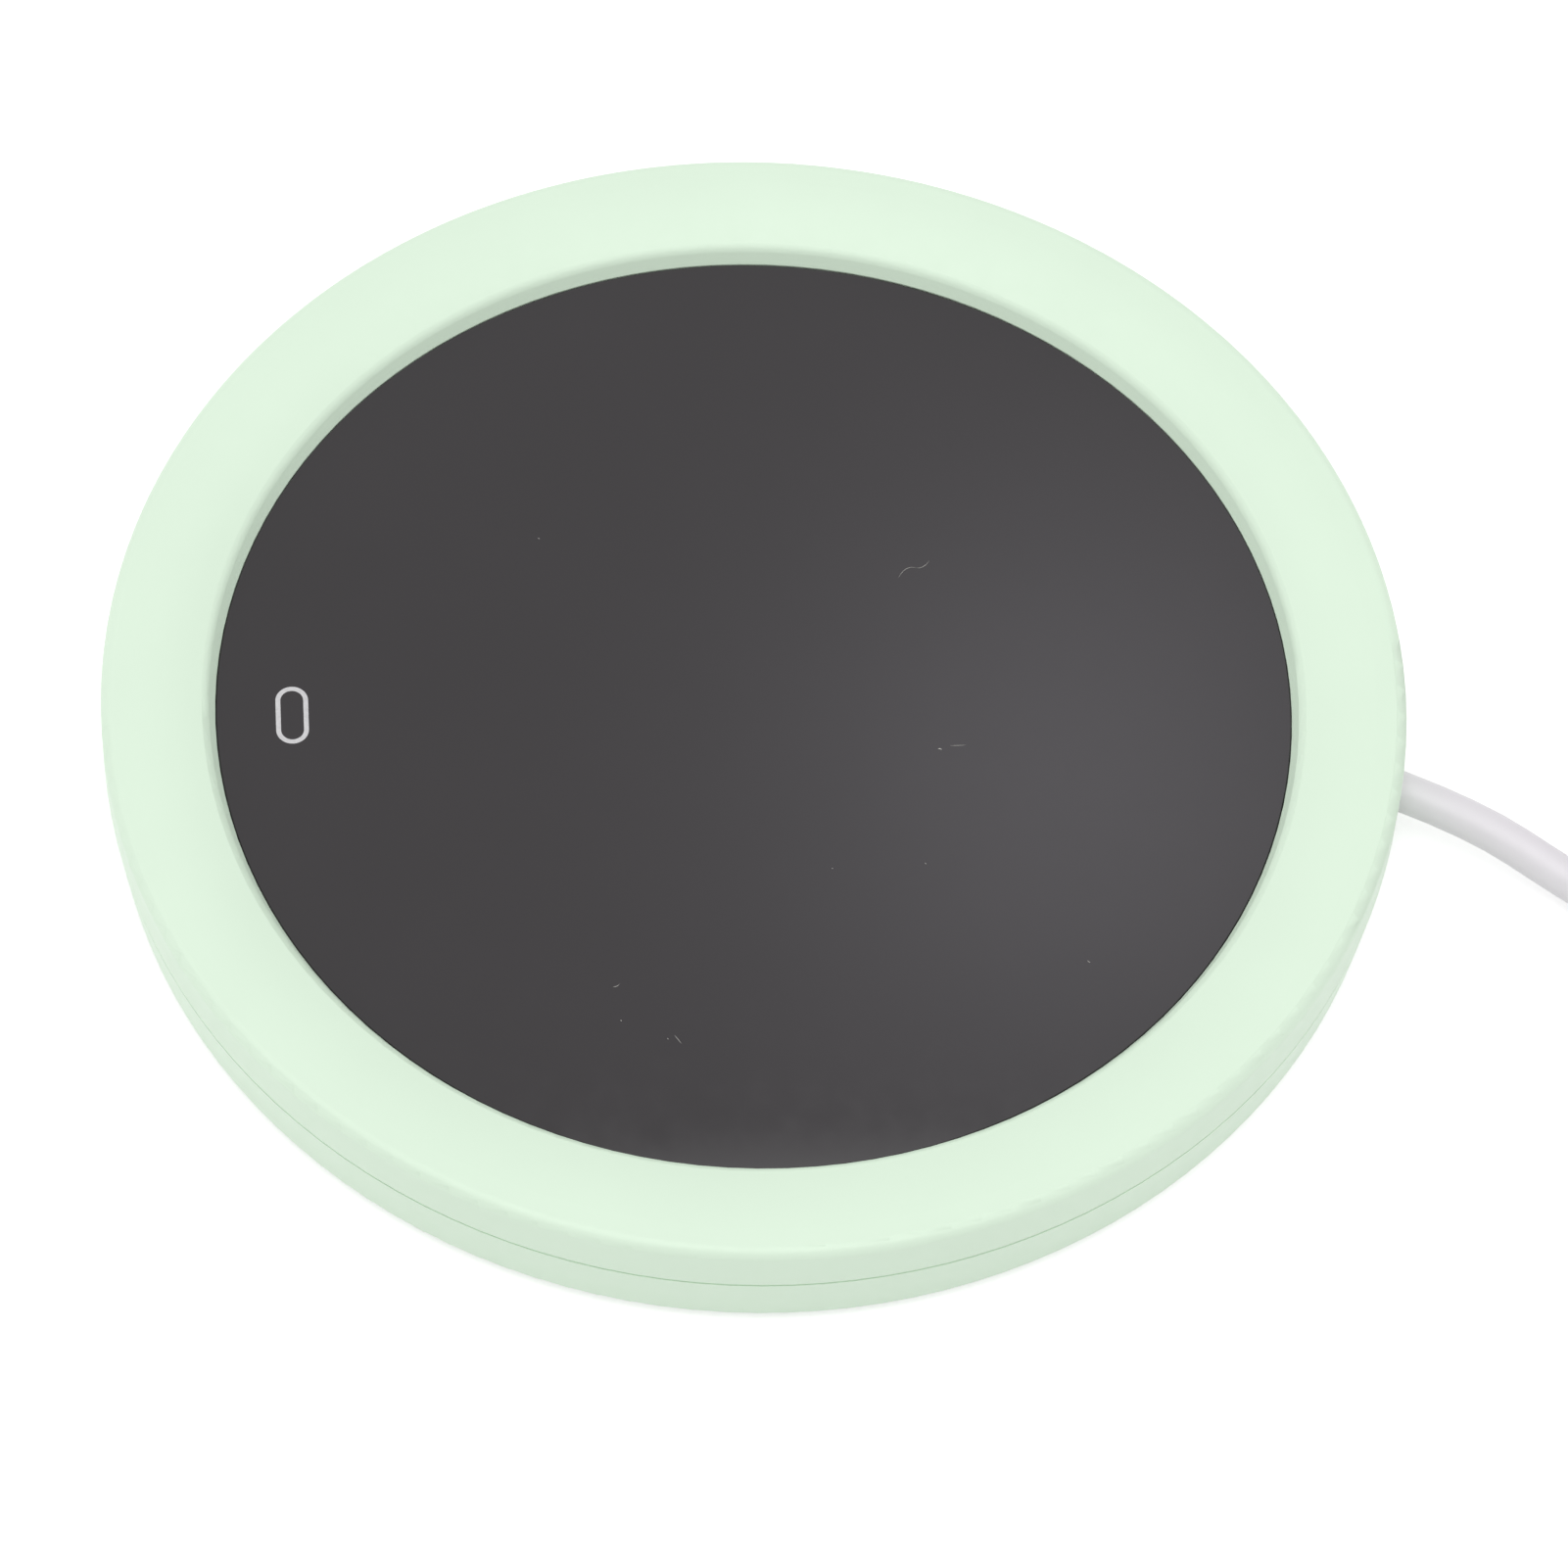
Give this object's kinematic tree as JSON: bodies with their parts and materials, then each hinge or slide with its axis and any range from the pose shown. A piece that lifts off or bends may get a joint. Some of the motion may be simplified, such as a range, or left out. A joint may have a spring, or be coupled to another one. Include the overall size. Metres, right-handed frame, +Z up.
{
  "type": "electric mug warmer",
  "caption": "Flat round mug warmer with a mint ring housing, a sunk dark glass warming panel with a touch key, and a lead with a flat power plug wound up behind it.",
  "frame": {"origin": "on the table surface under the centre of the round housing", "axes": "+Z up through the glass panel; -Y towards the touch key at the front; the lead leaves at the back, close to +Y"},
  "size_m": [0.12, 0.2155, 0.0132],
  "materials": {
    "mint_shell": "satin mint green",
    "dark_glass": "glossy, printed black behind",
    "key_print": "light grey print",
    "tape": "black foam tape",
    "thermal_pad": "soft grey pad",
    "spreader": "rolled",
    "film": "amber film",
    "foil": "etched foil",
    "felt": "needled felt",
    "sensor": "epoxy bead",
    "sensor_wire": "insulated wire",
    "heater_wire": "insulated wire",
    "red_wire": "insulated wire",
    "black_wire": "insulated wire",
    "board": "solder-mask green",
    "screw": "zinc plated",
    "chip": "moulded",
    "capacitor": "ceramic",
    "resistor": "ceramic, glazed",
    "light": "light package",
    "clear_plastic": "clear moulding",
    "spring_steel": "plated wire",
    "solder": "solder",
    "silicone": "soft translucent white",
    "cord_jacket": "white flexible jacket",
    "strap": "flat strap",
    "plug_grip": "white moulding",
    "plug_metal": "nickel plated",
    "plug_insulator": "moulded",
    "gold_contact": "gold plated"
  },
  "bodies": {
    "root": {"top_housing": "mint_shell", "bottom_cover": "mint_shell", "glass_panel": "dark_glass", "touch_mark": "key_print", "glass_tape": "tape", "thermal_pad": "thermal_pad", "heat_spreader": "spreader", "heating_film": "film", "heater_track": "foil", "insulation_pad": "felt", "temperature_sensor": "sensor", "sensor_leads": "sensor_wire", "heater_leads": "heater_wire", "supply_wire": "red_wire", "return_wire": "black_wire", "control_board": "board", "board_screws": "screw", "controller_chip": "chip", "power_transistor": "chip", "board_capacitors": "capacitor", "board_resistors": "resistor", "indicator_light": "light", "light_guide": "clear_plastic", "touch_spring": "spring_steel", "solder_joints": "solder", "housing_screws": "screw", "feet": "silicone", "cord_collar": "cord_jacket", "cord_lead": "cord_jacket", "cord_coil": "cord_jacket", "cord_tail": "cord_jacket", "coil_tie": "strap", "plug_body": "plug_grip", "plug_shell": "plug_metal", "plug_tongue": "plug_insulator", "plug_contacts": "gold_contact"}
  },
  "joints": []
}
